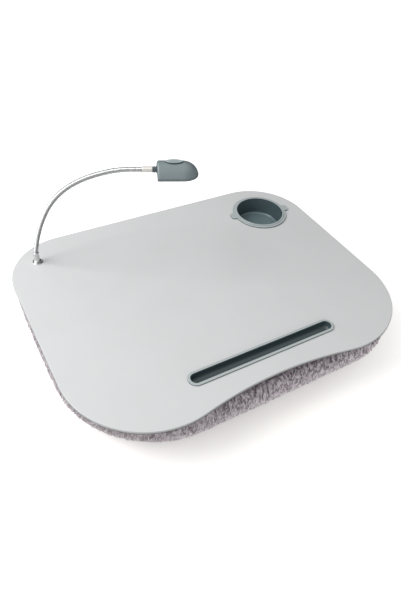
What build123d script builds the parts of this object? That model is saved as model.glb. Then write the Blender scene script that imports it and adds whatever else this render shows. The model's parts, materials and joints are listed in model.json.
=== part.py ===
from build123d import *
import math
import os

# Lap tray on a bead cushion, with a cup insert, a trough and a gooseneck reading lamp.
# Lengths are in millimetres and angles in degrees.  X runs to the right, Y to the back and Z up.
# The origin is on the floor, under the middle of the board.

# Board: flat top with a straight back edge and a shallow hollow in the front edge
board_width = 500.0
board_depth = 388.0
board_thickness = 5.0
board_front_narrowing = 2.0
board_back_radius_share = 0.176
board_front_radius_share = 0.23
board_hollow_depth = 13.7
board_edge_round = 1.2

# Cushion: a bag that stands out furthest at half its height and rests on a flat patch
cushion_height = 65.0
cushion_side_margin = 1.0
cushion_back_margin = 4.0
cushion_front_margin = 3.0
cushion_side_bow = 9.0
cushion_end_bow = 8.0
cushion_back_radius = 80.0
cushion_front_left_radius = 158.0
cushion_front_right_radius = 102.0
cushion_rest_inset = 50.0
cover_cloth = 3.0
backing_cloth = 1.5
cloth_clearance = 0.3
# Share of the cushion's height, and share of the rest inset by which the side draws in there
cushion_side_shares = ((0.0, 1.0), (0.08, 0.52), (0.27, 0.18), (0.55, 0.0), (0.82, 0.08), (1.0, 0.24))

# Cup insert: tapered cup that hangs in the board by its rim
cup_from_right = 76.0
cup_from_back = 73.0
cup_mouth_radius = 39.3
cup_floor_radius = 36.0
cup_wall = 2.0
cup_depth = 28.0
cup_floor_round = 4.0
cup_rim_radius = 46.0
cup_rim_thickness = 2.0
cup_lip_width = 2.4
cup_lip_height = 1.0
cup_rim_round = 0.7
cup_tab_reach = 53.5
cup_tab_width = 15.0
cup_tab_round = 4.5
cup_tab_turn = -8.5
cup_hole_clearance = 0.5
cup_pocket_clearance = 1.5

# Trough insert: long rounded channel for a tablet or pens
trough_x = 3.5
trough_from_front = 50.8
trough_length = 218.0
trough_width = 15.2
trough_depth = 11.0
trough_wall = 1.8
trough_rim_width = 3.5
trough_rim_thickness = 1.8
trough_rim_round = 0.7
trough_floor_round = 6.0
trough_hole_clearance = 0.5
trough_pocket_clearance = 1.5

# Lamp mounting: a collar and a ferrule on the board, and a nut under it
lamp_from_left = 46.3
lamp_from_back = 45.6
collar_radius = 7.4
collar_thickness = 1.6
collar_chamfer = 0.7
ferrule_radius = 3.9
ferrule_top = 18.0
ferrule_foot_radius = 4.8
ferrule_foot_height = 2.4
ferrule_chamfer = 0.5
stud_radius = 3.0
stud_hole_clearance = 0.25
stud_overhang = 1.4
washer_radius = 7.5
washer_thickness = 1.2
nut_across_flats = 10.0
nut_height = 4.5
nut_chamfer = 0.6
nut_pocket_clearance = 1.6

# Gooseneck: eight wound links that seat on each other as ball and cup
neck_radius = 3.25
neck_bore_radius = 1.1
neck_link_length = 28.4
neck_turns = (13.7, 6.0, 8.0, 13.0, 16.0, 12.0, 9.0, 12.3)
neck_direction = -22.5
neck_seat_clearance = 0.1
neck_lip_setback = 1.5
neck_groove_depth = 0.45
neck_wind_count = 3
end_ferrule_radius = 3.8
end_ferrule_length = 13.5
end_ferrule_chamfer = 0.5
end_socket_depth = 5.0
spigot_radius = 2.0

# Boot: ribbed rubber sleeve between the neck and the head
boot_length = 6.0
boot_radius = 3.1
boot_rib_radius = 4.2
boot_rib_length = 1.5
boot_rib_count = 3
boot_clearance = 0.1

# Lamp head: arched back half and a rounded nose, on a shallow lower tray
head_length = 55.2
head_nose_length = 21.5
head_half_width = 17.5
head_height = 19.0
head_axis_height = 8.1
head_wall = 1.6
head_back_round = 2.6
tray_height = 3.2
tray_floor = 1.4
tray_edge_round = 0.6
tray_joint_gap = 0.15
head_fit = 0.3

# Push button on top of the head
button_x = 22.2
button_length = 22.8
button_width = 9.4
button_stand = 1.9
button_clearance = 0.45
button_crown_round = 0.8
button_travel = 1.0
button_flange = 1.1
button_flange_thickness = 1.0
button_stem_radius = 2.4
button_ridge_count = 5
button_ridge_pitch = 2.0
button_ridge_width = 0.7
button_ridge_length = 5.0
button_ridge_height = 0.3

# Inside the head
circuit_level = 8.6
circuit_thickness = 1.2
circuit_back = 6.2
switch_size = 8.0
switch_height = 1.6
plunger_radius = 1.5
plunger_seat = 0.4
plunger_clearance = 0.1
cell_x = 15.6
cell_radius = 10.0
cell_thickness = 3.2
cell_count = 2
cell_chamfer = 0.3
contact_thickness = 0.3
contact_width = 5.0
hatch_clearance = 0.3
hatch_margin = 1.2
hatch_tab_reach = 14.9
hatch_tab_width = 6.0
hatch_groove_width = 1.6
hatch_groove_length = 12.0
hatch_groove_depth = 0.6
window_x = 37.5
window_length = 15.0
window_width = 19.0
window_round = 6.0
window_lip = 1.0
lens_thickness = 1.0
reflector_height = 4.4
led_count = 3
led_pitch = 6.4
led_radius = 2.2
led_height = 5.0
well_top_radius = 2.35
well_bottom_radius = 2.9
lock_nut_across_flats = 6.0
lock_nut_height = 1.6
screw_radius = 1.0
screw_head_radius = 1.8
screw_head_height = 1.0
screw_length = 5.0
screw_clearance = 0.1
boss_radius = 2.1
boss_height = 5.2
rear_screw_x = 4.6
rear_screw_y = 12.2
front_screw_x = 50.0

# One overrun serves every cut
overrun = 1.0

# Angles
quarter_turn = 90.0
half_turn = 180.0

# Levels, places and corners that follow from the sizes
board_bottom = cushion_height
board_top = cushion_height + board_thickness
board_back_radius = board_back_radius_share * board_width
board_front_radius = board_front_radius_share * board_width
cup_x = board_width / 2 - cup_from_right
cup_y = board_depth / 2 - cup_from_back
trough_y = trough_from_front - board_depth / 2
lamp_x = lamp_from_left - board_width / 2
lamp_y = board_depth / 2 - lamp_from_back


def mirrored_arc(half_width, end_y, bow):
    """Front or back side from the left end to the right end, bowed in Y at the middle."""
    return ThreePointArc((-half_width, end_y), (0, end_y + bow), (half_width, end_y))


def four_sided_face(back, front, left, right, back_radius, front_left_radius, front_right_radius):
    """Face between four sides, with its back and front corners rounded."""
    face = Sketch() + make_face([back, front, left, right])
    corners = (
        (back @ 0, back_radius),
        (back @ 1, back_radius),
        (front @ 0, front_left_radius),
        (front @ 1, front_right_radius),
    )
    for corner, radius in corners:
        face = fillet(face.vertices().sort_by_distance(corner)[0], radius)
    return face


def board_outline():
    """Plan of the board: the front lobes are arcs that run into the hollow without a corner."""
    half_width = board_width / 2
    half_depth = board_depth / 2
    front_half_width = half_width - board_front_narrowing
    lobe_x = front_half_width - board_front_radius
    hollow_y = -half_depth + board_hollow_depth
    lobe_rise = board_front_radius - board_hollow_depth
    hollow_radius = (lobe_x ** 2 + lobe_rise ** 2 - board_front_radius ** 2) / (2 * board_hollow_depth)
    corner_drop = hollow_radius - math.sqrt(hollow_radius ** 2 - front_half_width ** 2)
    front_y = hollow_y - corner_drop
    back = Line((-half_width, half_depth), (half_width, half_depth))
    front = mirrored_arc(front_half_width, front_y, corner_drop)
    left = Line((-half_width, half_depth), (-front_half_width, front_y))
    right = Line((half_width, half_depth), (front_half_width, front_y))
    return four_sided_face(
        back, front, left, right, board_back_radius, board_front_radius, board_front_radius
    )


def cushion_outline(inset, level):
    """Plan of the cushion, drawn in by an inset, at a level above the floor."""
    half_width = board_width / 2 - cushion_side_margin - cushion_side_bow - inset
    back_y = board_depth / 2 - cushion_back_margin - cushion_end_bow - inset
    front_y = -board_depth / 2 + cushion_front_margin + cushion_end_bow + inset
    middle_y = (back_y + front_y) / 2
    side_x = half_width + cushion_side_bow
    back = mirrored_arc(half_width, back_y, cushion_end_bow)
    front = mirrored_arc(half_width, front_y, -cushion_end_bow)
    left = ThreePointArc((-half_width, back_y), (-side_x, middle_y), (-half_width, front_y))
    right = ThreePointArc((half_width, back_y), (side_x, middle_y), (half_width, front_y))
    back_radius = cushion_back_radius - inset
    left_radius = cushion_front_left_radius - inset
    right_radius = cushion_front_right_radius - inset
    face = four_sided_face(back, front, left, right, back_radius, left_radius, right_radius)
    return Pos(0, 0, level) * face


def cushion_form(skin, top):
    """Cushion body a skin's thickness inside the bag's outside, up to a top level."""
    sections = []
    for height_share, inset_share in cushion_side_shares:
        level = skin + height_share * (top - skin)
        inset = skin + inset_share * cushion_rest_inset
        sections.append(cushion_outline(inset, level))
    return loft(sections)


def on_board(x, y, level):
    """Place over a point of the board, at a level above the floor."""
    return Pos(x, y, level)


def slot_block(length, width, height, lower_round):
    """Solid with round ends that stands on Z = 0, its lower edge rounded."""
    block = extrude(SlotOverall(length, width), height)
    if lower_round:
        block = fillet(block.edges().group_by(Axis.Z)[0], lower_round)
    return block


def low_cylinder(radius, height):
    """Cylinder that stands on Z = 0."""
    return Cylinder(radius, height, align=(Align.CENTER, Align.CENTER, Align.MIN))


def low_box(length, width, height):
    """Box that stands on Z = 0, centred in X and Y."""
    return Box(length, width, height, align=(Align.CENTER, Align.CENTER, Align.MIN))


def low_cone(bottom_radius, top_radius, height):
    """Cone that stands on Z = 0."""
    return Cone(bottom_radius, top_radius, height, align=(Align.CENTER, Align.CENTER, Align.MIN))


def hex_nut(across_flats, height, bore_radius, chamfer_size):
    """Hexagon nut that stands on Z = 0, turned to a cone at both faces."""
    corner_radius = across_flats / math.sqrt(3)
    nut = extrude(RegularPolygon(corner_radius, 6), height)
    if chamfer_size:
        turned = low_cylinder(corner_radius, height)
        nut = nut & chamfer(turned.edges().filter_by(GeomType.CIRCLE), chamfer_size)
    return nut - low_cylinder(bore_radius, height)


# Sizes of the openings that the inserts need
cup_body_radius = cup_mouth_radius + cup_wall
cup_hole_radius = cup_body_radius + cup_hole_clearance
cup_body_depth = cup_depth - cup_lip_height - cup_rim_thickness
trough_body_length = trough_length + 2 * trough_wall
trough_body_width = trough_width + 2 * trough_wall
trough_body_depth = trough_depth - trough_rim_thickness
stud_hole_radius = stud_radius + stud_hole_clearance
stud_length = board_thickness + washer_thickness + nut_height + stud_overhang


def tray_board():
    """Flat board with holes for the cup, the trough and the lamp."""
    board = extrude(board_outline(), board_thickness)
    rims = board.edges().filter_by(Plane.XY)
    board = fillet(rims, board_edge_round)
    board -= Pos(cup_x, cup_y, 0) * low_cylinder(cup_hole_radius, board_thickness)
    hole_length = trough_body_length + 2 * trough_hole_clearance
    hole_width = trough_body_width + 2 * trough_hole_clearance
    board -= Pos(trough_x, trough_y, 0) * slot_block(hole_length, hole_width, board_thickness, 0)
    board -= Pos(lamp_x, lamp_y, 0) * low_cylinder(stud_hole_radius, board_thickness)
    return Pos(0, 0, board_bottom) * board


def cup_insert():
    """Cup with a flat rim, a raised lip round its mouth and two lifting tabs."""
    body_height = cup_body_depth + cup_wall
    outer_floor_radius = cup_floor_radius + cup_wall
    body = low_cone(outer_floor_radius, cup_body_radius, body_height)
    body = fillet(body.edges().group_by(Axis.Z)[0], cup_floor_round + cup_wall)
    rim = low_cylinder(cup_rim_radius, cup_rim_thickness)
    for side in (0, half_turn):
        tab = Pos(cup_tab_reach / 2, 0, 0) * low_box(cup_tab_reach, cup_tab_width, cup_rim_thickness)
        tab = fillet(tab.edges().filter_by(Axis.Z).group_by(Axis.X)[-1], cup_tab_round)
        rim += Rot(0, 0, cup_tab_turn + side) * tab
    rim = fillet(rim.edges().group_by(Axis.Z)[-1], cup_rim_round)
    lip = Pos(0, 0, cup_rim_thickness) * low_cylinder(cup_mouth_radius + cup_lip_width, cup_lip_height)
    lip = chamfer(lip.edges().group_by(Axis.Z)[-1], cup_lip_height / 2)
    hollow = low_cone(cup_floor_radius, cup_mouth_radius, cup_depth)
    hollow = fillet(hollow.edges().group_by(Axis.Z)[0], cup_floor_round)
    cup = Pos(0, 0, -body_height) * body + rim + lip
    cup -= Pos(0, 0, cup_rim_thickness + cup_lip_height - cup_depth) * hollow
    return on_board(cup_x, cup_y, board_top) * cup


def trough_insert():
    """Rounded channel that hangs in the board by its rim."""
    body_height = trough_body_depth + trough_wall
    body = slot_block(trough_body_length, trough_body_width, body_height, trough_floor_round + trough_wall)
    rim_length = trough_length + 2 * trough_rim_width
    rim_width = trough_width + 2 * trough_rim_width
    rim = slot_block(rim_length, rim_width, trough_rim_thickness, 0)
    rim = fillet(rim.edges().group_by(Axis.Z)[-1], trough_rim_round)
    hollow = slot_block(trough_length, trough_width, trough_depth, trough_floor_round)
    trough = Pos(0, 0, -body_height) * body + rim
    trough -= Pos(0, 0, trough_rim_thickness - trough_depth) * hollow
    return on_board(trough_x, trough_y, board_top) * trough


def insert_pockets(top):
    """Space that the inserts and the lamp's nut need under a level, in the cloth and the filling."""
    cup_floor = board_top - cup_body_depth - cup_wall - cup_pocket_clearance
    pocket_radius = cup_hole_radius + cup_pocket_clearance
    pockets = on_board(cup_x, cup_y, cup_floor) * low_cylinder(pocket_radius, top - cup_floor)
    trough_floor = board_top - trough_body_depth - trough_wall - trough_pocket_clearance
    pocket_length = trough_body_length + 2 * (trough_hole_clearance + trough_pocket_clearance)
    pocket_width = trough_body_width + 2 * (trough_hole_clearance + trough_pocket_clearance)
    trough_pocket = slot_block(pocket_length, pocket_width, top - trough_floor, 0)
    pockets += on_board(trough_x, trough_y, trough_floor) * trough_pocket
    stud_end = board_top - stud_length - nut_pocket_clearance
    nut_pocket = low_cylinder(washer_radius + nut_pocket_clearance, top - stud_end)
    return pockets + on_board(lamp_x, lamp_y, stud_end) * nut_pocket


def cushion_cover():
    """Fleece bag, open at the top where the backing closes it."""
    outside = cushion_form(0, cushion_height)
    inside = cushion_form(cover_cloth, cushion_height)
    return outside - inside


def cushion_backing():
    """Plain cloth glued under the board, inside the mouth of the bag."""
    mouth_inset = cushion_side_shares[-1][1] * cushion_rest_inset + cover_cloth + cloth_clearance
    panel = extrude(cushion_outline(mouth_inset, cushion_height - backing_cloth), backing_cloth)
    return panel - insert_pockets(cushion_height + overrun)


def bead_filling():
    """Beads as one body, with hollows where the inserts press in."""
    fill_top = cushion_height - backing_cloth - cloth_clearance
    filling = cushion_form(cover_cloth + cloth_clearance, fill_top)
    return filling - insert_pockets(cushion_height + overrun)


def lamp_collar():
    """Turned disc on the board, round the foot of the ferrule."""
    disc = low_cylinder(collar_radius, collar_thickness)
    disc = chamfer(disc.edges().group_by(Axis.Z)[-1], collar_chamfer)
    disc -= low_cylinder(stud_hole_radius, collar_thickness)
    return on_board(lamp_x, lamp_y, board_top) * disc


def lamp_ferrule():
    """Ferrule with its stud below and the cup for the first link above."""
    foot = Pos(0, 0, collar_thickness) * low_cylinder(ferrule_foot_radius, ferrule_foot_height)
    foot = chamfer(foot.edges().group_by(Axis.Z)[-1], ferrule_foot_radius - ferrule_radius)
    barrel = Pos(0, 0, collar_thickness) * low_cylinder(ferrule_radius, ferrule_top - collar_thickness)
    barrel = chamfer(barrel.edges().group_by(Axis.Z)[-1], ferrule_chamfer)
    stud = Pos(0, 0, -stud_length) * low_cylinder(stud_radius, stud_length + collar_thickness)
    ferrule = foot + barrel + stud
    ferrule -= Pos(0, 0, ferrule_top + neck_lip_setback) * Sphere(neck_radius + neck_seat_clearance)
    ferrule -= Pos(0, 0, -stud_length) * low_cylinder(neck_bore_radius, stud_length + ferrule_top)
    return on_board(lamp_x, lamp_y, board_top) * ferrule


def lamp_washer():
    """Plain washer under the board."""
    washer = low_cylinder(washer_radius, washer_thickness)
    washer -= low_cylinder(stud_hole_radius, washer_thickness)
    return on_board(lamp_x, lamp_y, board_bottom - washer_thickness) * washer


def lamp_nut():
    """Nut on the stud, against the washer."""
    nut = hex_nut(nut_across_flats, nut_height, stud_radius, nut_chamfer)
    return on_board(lamp_x, lamp_y, board_bottom - washer_thickness - nut_height) * nut


def neck_path():
    """Joint centres of the neck and the direction of each link, from the ferrule to the head."""
    heading = math.radians(neck_direction)
    point = Vector(lamp_x, lamp_y, board_top + ferrule_top + neck_lip_setback)
    lean = 0
    points = [point]
    directions = []
    for turn in neck_turns:
        lean += math.radians(turn)
        level = math.sin(lean)
        direction = Vector(level * math.cos(heading), level * math.sin(heading), math.cos(lean))
        point = point + direction * neck_link_length
        points.append(point)
        directions.append(direction)
    return points, directions


def along(origin, direction):
    """Place whose Z axis runs along a direction and whose Y axis stays level."""
    heading = math.radians(neck_direction)
    level_side = Vector(-math.sin(heading), math.cos(heading), 0)
    return Plane(origin=origin, x_dir=level_side.cross(direction), z_dir=direction).location


def wound_tube(start, end):
    """Round tube with a wound surface: crests at the neck's radius and a groove after each."""
    pitch = (end - start) / neck_wind_count
    valley = neck_radius - neck_groove_depth
    outline = [(0, start), (neck_radius, start)]
    for turn in range(neck_wind_count):
        crest = start + turn * pitch
        outline.append((valley, crest + pitch / 2))
        outline.append((neck_radius, crest + pitch))
    outline.append((0, end))
    profile = make_face(Polyline(*outline, close=True))
    return revolve(Plane.XZ * profile, Axis.Z)


def link_ball_and_bore(tube, length):
    """A link's tube with the ball at its start and the bore through it."""
    link = tube + Sphere(neck_radius)
    return link - Pos(0, 0, -neck_radius) * low_cylinder(neck_bore_radius, neck_radius + length)


def neck_link():
    """One link along Z: a ball at its start, and a cup for the next ball at its end."""
    tube = wound_tube(0, neck_link_length - neck_lip_setback)
    tube -= Pos(0, 0, neck_link_length) * Sphere(neck_radius + neck_seat_clearance)
    return link_ball_and_bore(tube, neck_link_length)


def last_neck_link():
    """Last link along Z: a ball at its start, and a plain end that goes into the end ferrule."""
    tube = wound_tube(0, neck_link_length)
    tube += Pos(0, 0, neck_link_length) * low_cylinder(neck_radius - neck_groove_depth, end_socket_depth)
    return link_ball_and_bore(tube, neck_link_length + end_socket_depth)


def head_place():
    """Place of the head's own frame: X along the neck's end, Z up, at the boot's far end."""
    points, directions = neck_path()
    origin = points[-1] + directions[-1] * (end_ferrule_length + boot_length)
    return Location(Plane(origin=origin, x_dir=directions[-1], z_dir=(0, 0, 1)).location)


def forward(x, height):
    """Place in the head's frame whose Z axis runs forward, at a height above the neck's axis."""
    return Pos(x, 0, height) * Rot(0, quarter_turn, 0)


def neck_end_ferrule():
    """Bright ferrule over the neck's end, with a spigot that runs through the boot."""
    start = -boot_length - end_ferrule_length
    barrel = forward(start, 0) * low_cylinder(end_ferrule_radius, end_ferrule_length)
    barrel = chamfer(barrel.edges().filter_by(GeomType.CIRCLE), end_ferrule_chamfer)
    spigot_length = boot_length + head_wall + lock_nut_height + head_fit
    spigot = forward(-boot_length, 0) * low_cylinder(spigot_radius, spigot_length)
    socket_radius = neck_radius - neck_groove_depth + neck_seat_clearance / 2
    socket = forward(start, 0) * low_cylinder(socket_radius, end_socket_depth + neck_seat_clearance)
    bore = forward(start, 0) * low_cylinder(neck_bore_radius, end_ferrule_length + spigot_length)
    return barrel + spigot - socket - bore


def neck_boot():
    """Rubber sleeve with ribs, round the spigot."""
    sleeve = forward(-boot_length, 0) * low_cylinder(boot_radius, boot_length)
    rib_gap = (boot_length - boot_rib_count * boot_rib_length) / boot_rib_count
    for rib in range(boot_rib_count):
        start = -boot_length + rib * (boot_rib_length + rib_gap)
        ring = forward(start, 0) * low_cylinder(boot_rib_radius, boot_rib_length)
        sleeve += chamfer(ring.edges().filter_by(GeomType.CIRCLE), boot_rib_length / 4)
    return sleeve - forward(-boot_length, 0) * low_cylinder(spigot_radius + boot_clearance, boot_length)


def dome(inset, base, back_round):
    """Head body an inset inside its outside: an arched back half and a revolved nose."""
    half_width = head_half_width - inset
    height = head_height - inset
    nose_x = head_length - head_nose_length
    stretch = (head_nose_length - inset) / half_width
    quarter = make_face([
        Line((0, 0), (half_width, 0)),
        EllipticalCenterArc((0, 0), half_width, height, start_angle=0, arc_size=quarter_turn),
        Line((0, height), (0, 0)),
    ])
    other_quarter = mirror(quarter, Plane.YZ)
    arch = Plane.YZ * (Sketch() + quarter + other_quarter)
    back_half = Pos(inset, 0, 0) * extrude(arch, nose_x - inset)
    if back_round:
        rear_edges = back_half.edges().group_by(Axis.X)[0].sort_by(Axis.Z)[1:]
        back_half = fillet(rear_edges, back_round)
    nose = revolve(Plane.YZ * other_quarter, Axis.Z, revolution_arc=half_turn)
    nose = scale(nose, by=(stretch, 1, 1))
    body = back_half + Pos(nose_x, 0, 0) * nose
    keep = Pos(head_length / 2, 0, base) * low_box(2 * head_length, 2 * head_length, head_height)
    return body & keep


def bullet(inset, nose_length, height):
    """Plate with the head's plan: square at the back and half an oval at the nose."""
    nose_x = head_length - head_nose_length
    half_width = head_half_width - inset
    back_length = nose_x - inset
    plate = Pos(inset + back_length / 2, 0, 0) * low_box(back_length, 2 * half_width, height)
    return plate + Pos(nose_x, 0, 0) * extrude(Ellipse(nose_length, half_width), height)


def raised(height):
    """Place a height above the underside of the head, in the head's frame."""
    return Pos(0, 0, height - head_axis_height)


def screw_points():
    """Places of the head's screws in its plan."""
    return ((rear_screw_x, rear_screw_y), (rear_screw_x, -rear_screw_y), (front_screw_x, 0))


def button_plan(margin):
    """Oval plan of the push button, grown by a margin."""
    return Pos(button_x, 0, 0) * Ellipse(button_length / 2 + margin, button_width / 2 + margin)


def head_shell():
    """Moulded upper shell with an opening for the button, a hole for the boot and screw bosses."""
    split = tray_height + tray_joint_gap
    shell = dome(0, split, head_back_round) - dome(head_wall, 0, 0)
    inner_dome = dome(head_wall, split, 0)
    for x, y in screw_points():
        boss = Pos(x, y, split) * low_cylinder(boss_radius, boss_height)
        shell += boss & inner_dome
        shell -= Pos(x, y, split) * low_cylinder(screw_radius + screw_clearance, boss_height - head_wall)
    shell -= Pos(0, 0, head_height / 2) * extrude(button_plan(button_clearance), head_height)
    spigot_hole = low_cylinder(spigot_radius + boot_clearance, 2 * head_wall)
    shell -= forward(0, head_axis_height) * spigot_hole
    return raised(0) * shell


def hatch_plan(margin):
    """Plan of the battery hatch: a disc with a tab to pry it out by."""
    disc = Circle(cell_radius + hatch_margin + margin)
    tab_length = 2 * (hatch_tab_reach + margin)
    tab = RectangleRounded(hatch_tab_width + 2 * margin, tab_length, hatch_tab_width / 4)
    far_side = Pos(0, hatch_tab_reach, 0) * Rectangle(2 * hatch_tab_width, 2 * hatch_tab_reach)
    return Pos(cell_x, 0, 0) * (disc + (tab & far_side))


def head_tray():
    """Lower tray of the head, with a window for the light and a hatch for the cells."""
    tray = bullet(0, head_nose_length, tray_height)
    tray = fillet(tray.edges().group_by(Axis.Z)[0], tray_edge_round)
    tray -= Pos(0, 0, tray_floor) * bullet(head_wall, head_nose_length - head_wall, tray_height)
    window = RectangleRounded(window_length, window_width, window_round)
    tray -= Pos(window_x, 0, 0) * extrude(window, tray_floor)
    tray -= extrude(hatch_plan(hatch_clearance), tray_floor)
    for x, y in screw_points():
        post = Pos(x, y, 0) * low_cylinder(boss_radius, tray_height)
        tray += post
        tray -= Pos(x, y, 0) * low_cylinder(screw_radius + screw_clearance, tray_height)
        tray -= Pos(x, y, 0) * low_cylinder(screw_head_radius + screw_clearance, screw_head_height)
    return raised(0) * tray


def head_lens():
    """Clear plate over the window, on the tray's floor."""
    length = window_length + 2 * window_lip
    width = window_width + 2 * window_lip
    plan = RectangleRounded(length, width, window_round + window_lip)
    return raised(tray_floor) * Pos(window_x, 0, 0) * extrude(plan, lens_thickness)


def led_places():
    """Places of the lights across the window."""
    first = -(led_count - 1) / 2 * led_pitch
    return [(window_x, first + index * led_pitch) for index in range(led_count)]


def reflector():
    """Bright block with a flared well for each light."""
    plan = RectangleRounded(window_length, window_width + 2 * window_lip, window_round)
    block = Pos(window_x, 0, 0) * extrude(plan, reflector_height)
    for x, y in led_places():
        well = low_cone(well_bottom_radius, well_top_radius, reflector_height)
        block -= Pos(x, y, 0) * well
    return raised(tray_floor + lens_thickness) * block


def light_group():
    """Lights with round noses, hung from the circuit board."""
    shoulder = circuit_level - led_height + led_radius
    bulb = low_cylinder(led_radius, led_height - led_radius) + Sphere(led_radius)
    lights = [Pos(x, y, shoulder) * bulb for x, y in led_places()]
    return raised(0) * Compound(children=lights)


def circuit_board():
    """Plate that carries the switch, the lights and the cell contact."""
    inner_height = head_height - head_wall
    level_share = (circuit_level + circuit_thickness) / inner_height
    half_width = (head_half_width - head_wall) * math.sqrt(1 - level_share ** 2) - head_fit
    plate = bullet(head_half_width - half_width, half_width, circuit_thickness)
    keep = Pos(circuit_back + head_length / 2, 0, 0) * low_box(head_length, head_length, circuit_thickness)
    return raised(circuit_level) * (plate & keep)


def switch_body():
    """Square push switch on the circuit board, with a well for its plunger."""
    body = low_box(switch_size, switch_size, switch_height)
    body = chamfer(body.edges().filter_by(Axis.Z), switch_size / 8)
    body -= Pos(0, 0, plunger_clearance) * low_cylinder(plunger_radius + plunger_clearance, switch_height)
    return raised(circuit_level + circuit_thickness) * Pos(button_x, 0, 0) * body


def stem_level():
    """Level of the button's stem: its travel and a fit above the switch."""
    return circuit_level + circuit_thickness + switch_height + button_travel + head_fit


def switch_plunger():
    """Pin between the button's stem and the switch."""
    start = circuit_level + circuit_thickness + switch_height - plunger_seat
    plunger = low_cylinder(plunger_radius, stem_level() - start)
    return raised(start) * Pos(button_x, 0, 0) * plunger


def push_button():
    """Oval button with ridges on top, a flange that keeps it in and a stem to the switch."""
    top = head_height + button_stand
    flange_level = head_height - head_wall - button_travel - 2 * button_flange_thickness
    stem_bottom = stem_level()
    cap = Pos(0, 0, flange_level) * extrude(button_plan(0), top - flange_level)
    cap = fillet(cap.edges().group_by(Axis.Z)[-1], button_crown_round)
    flange = Pos(0, 0, flange_level) * extrude(button_plan(button_flange), button_flange_thickness)
    flange = flange & dome(head_wall + head_fit, 0, 0)
    stem = Pos(button_x, 0, stem_bottom) * low_cylinder(button_stem_radius, flange_level - stem_bottom)
    button = cap + flange + stem
    for index in range(button_ridge_count):
        x = button_x + (index - (button_ridge_count - 1) / 2) * button_ridge_pitch
        button += Pos(x, 0, top) * low_box(button_ridge_width, button_ridge_length, button_ridge_height)
    return raised(0) * button


def coin_cells():
    """Cells, one on the other, over the hatch."""
    cell = low_cylinder(cell_radius, cell_thickness)
    cell = chamfer(cell.edges().filter_by(GeomType.CIRCLE), cell_chamfer)
    levels = [tray_floor + index * cell_thickness for index in range(cell_count)]
    stack = [Pos(cell_x, 0, level) * cell for level in levels]
    return raised(0) * Compound(children=stack)


def cell_contact():
    """Sprung strip between the upper cell and the circuit board."""
    low = tray_floor + cell_count * cell_thickness
    rise = circuit_level - low
    strip = Pos(cell_x, 0, low) * low_box(2 * contact_width, contact_width, contact_thickness)
    leg = Pos(cell_x + contact_width, 0, low) * low_box(contact_thickness, contact_width, rise)
    return raised(0) * (strip + leg)


def battery_hatch():
    """Snap-in cover under the cells, with a groove for a coin."""
    hatch = extrude(hatch_plan(0), tray_floor)
    hatch -= Pos(cell_x, 0, 0) * slot_block(hatch_groove_length, hatch_groove_width, hatch_groove_depth, 0)
    return raised(0) * hatch


def lock_nut():
    """Thin nut on the spigot, inside the shell's back wall."""
    nut = hex_nut(lock_nut_across_flats, lock_nut_height, spigot_radius, 0)
    return forward(head_wall, 0) * nut


def shell_screws():
    """Screws that hold the tray to the shell, as one group."""
    screws = []
    for x, y in screw_points():
        head = Pos(x, y, 0) * low_cylinder(screw_head_radius, screw_head_height)
        shank = Pos(x, y, 0) * low_cylinder(screw_radius, screw_length)
        screws.append(head + shank)
    return raised(0) * Compound(children=screws)


def export(name, shape):
    """Write one piece under its name."""
    export_step(shape, "parts/" + name + ".step")


def main():
    os.makedirs("parts", exist_ok=True)
    export("tray_board", tray_board())
    export("cup_insert", cup_insert())
    export("trough_insert", trough_insert())
    export("cushion_cover", cushion_cover())
    export("cushion_backing", cushion_backing())
    export("bead_filling", bead_filling())
    export("lamp_collar", lamp_collar())
    export("lamp_ferrule", lamp_ferrule())
    export("lamp_washer", lamp_washer())
    export("lamp_nut", lamp_nut())
    points, directions = neck_path()
    links = [neck_link()] * (len(directions) - 1) + [last_neck_link()]
    for index, link in enumerate(links):
        export("neck_link_" + str(index + 1), along(points[index], directions[index]) * link)
    place = head_place()
    export("neck_end_ferrule", place * neck_end_ferrule())
    export("neck_boot", place * neck_boot())
    export("head_shell", place * head_shell())
    export("head_tray", place * head_tray())
    export("head_lens", place * head_lens())
    export("reflector", place * reflector())
    export("light_group", place * light_group())
    export("circuit_board", place * circuit_board())
    export("switch_body", place * switch_body())
    export("switch_plunger", place * switch_plunger())
    export("push_button", place * push_button())
    export("coin_cells", place * coin_cells())
    export("cell_contact", place * cell_contact())
    export("battery_hatch", place * battery_hatch())
    export("lock_nut", place * lock_nut())
    export("shell_screws", place * shell_screws())


main()
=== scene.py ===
import json
import math

import bmesh
import bpy
from bpy.props import FloatProperty, FloatVectorProperty, IntProperty, PointerProperty
from mathutils import Matrix, Vector


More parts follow.
